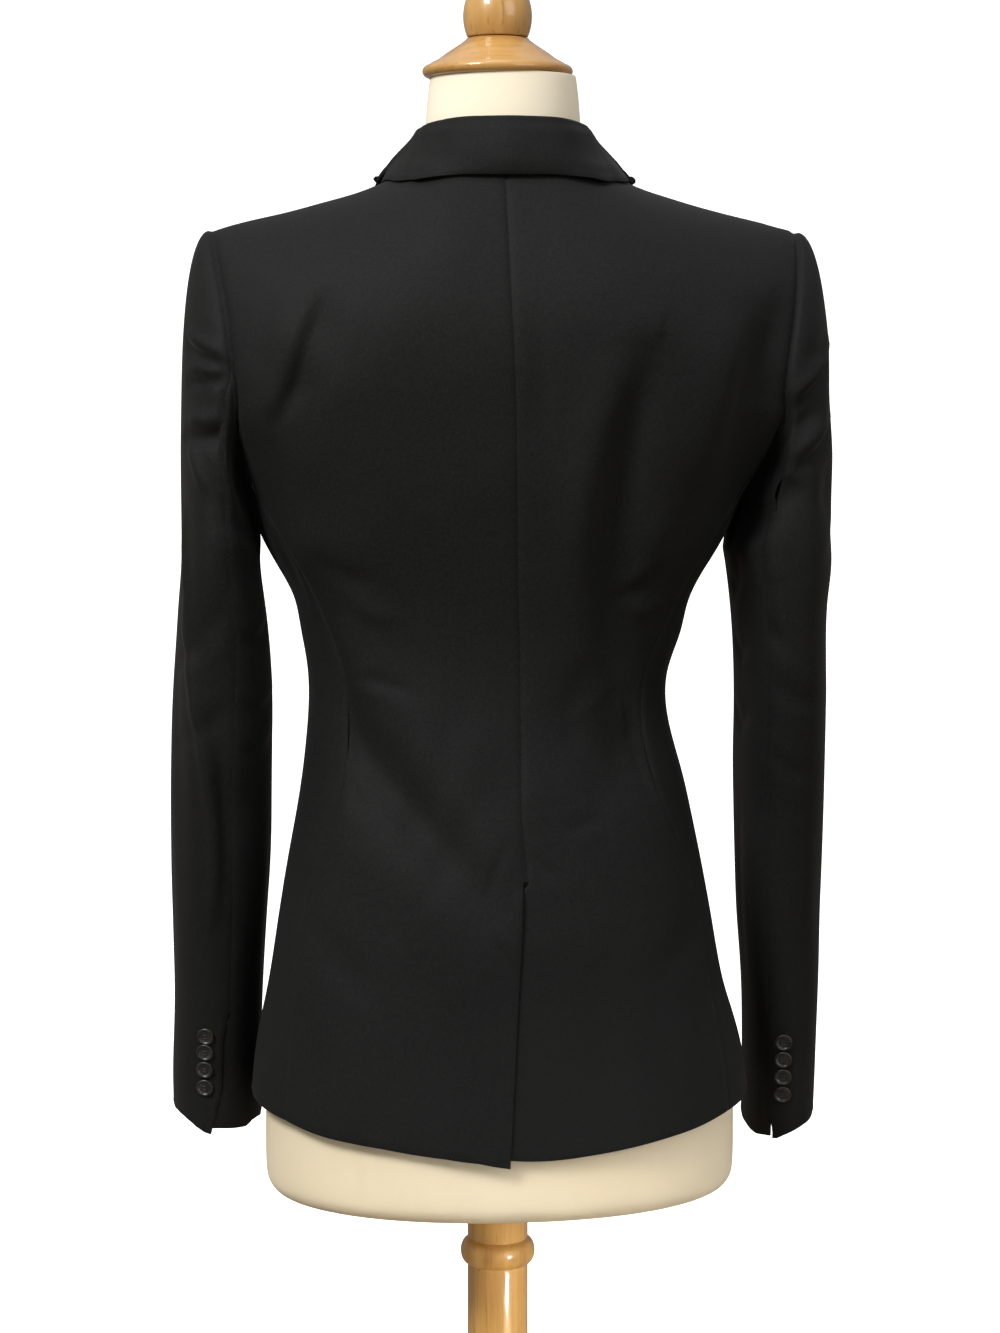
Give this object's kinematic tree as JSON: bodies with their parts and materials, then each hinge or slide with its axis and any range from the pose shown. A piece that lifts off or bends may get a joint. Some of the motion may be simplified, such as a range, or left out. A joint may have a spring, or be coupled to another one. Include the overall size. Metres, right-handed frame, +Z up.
{
  "type": "single breasted blazer on a dress form",
  "caption": "Fitted single breasted blazer with notch lapels, centre back vent and buttoned cuffs, worn by a limbless dress form on a short wooden stand.",
  "frame": {"origin": "middle of the underside of the wooden base, on the surface that it stands on", "axes": "+Z up, +X to the wearer's left, the garment's front faces -Y"},
  "size_m": [0.4514, 0.2896, 1.0833],
  "materials": {
    "black_wool": "fine black worsted suiting, matt",
    "dark_button": "dark grey polyester button with a raised rim",
    "cream_cover": "cream jersey stretched over the form",
    "golden_wood": "golden hardwood under clear varnish"
  },
  "bodies": {
    "root": {"back_left": "black_wool", "back_right": "black_wool", "base": "golden_wood", "collar": "black_wool", "cuff_button_left_1": "dark_button", "cuff_button_left_2": "dark_button", "cuff_button_left_3": "dark_button", "cuff_button_left_4": "dark_button", "cuff_button_right_1": "dark_button", "cuff_button_right_2": "dark_button", "cuff_button_right_3": "dark_button", "cuff_button_right_4": "dark_button", "finial": "golden_wood", "form_torso": "cream_cover", "front_button": "dark_button", "front_left": "black_wool", "front_right": "black_wool", "lapel_left": "black_wool", "lapel_right": "black_wool", "neck_cap": "golden_wood", "pole": "golden_wood", "side_left": "black_wool", "side_right": "black_wool", "under_sleeve_left": "black_wool", "under_sleeve_right": "black_wool", "upper_sleeve_left": "black_wool", "upper_sleeve_right": "black_wool"}
  },
  "joints": []
}
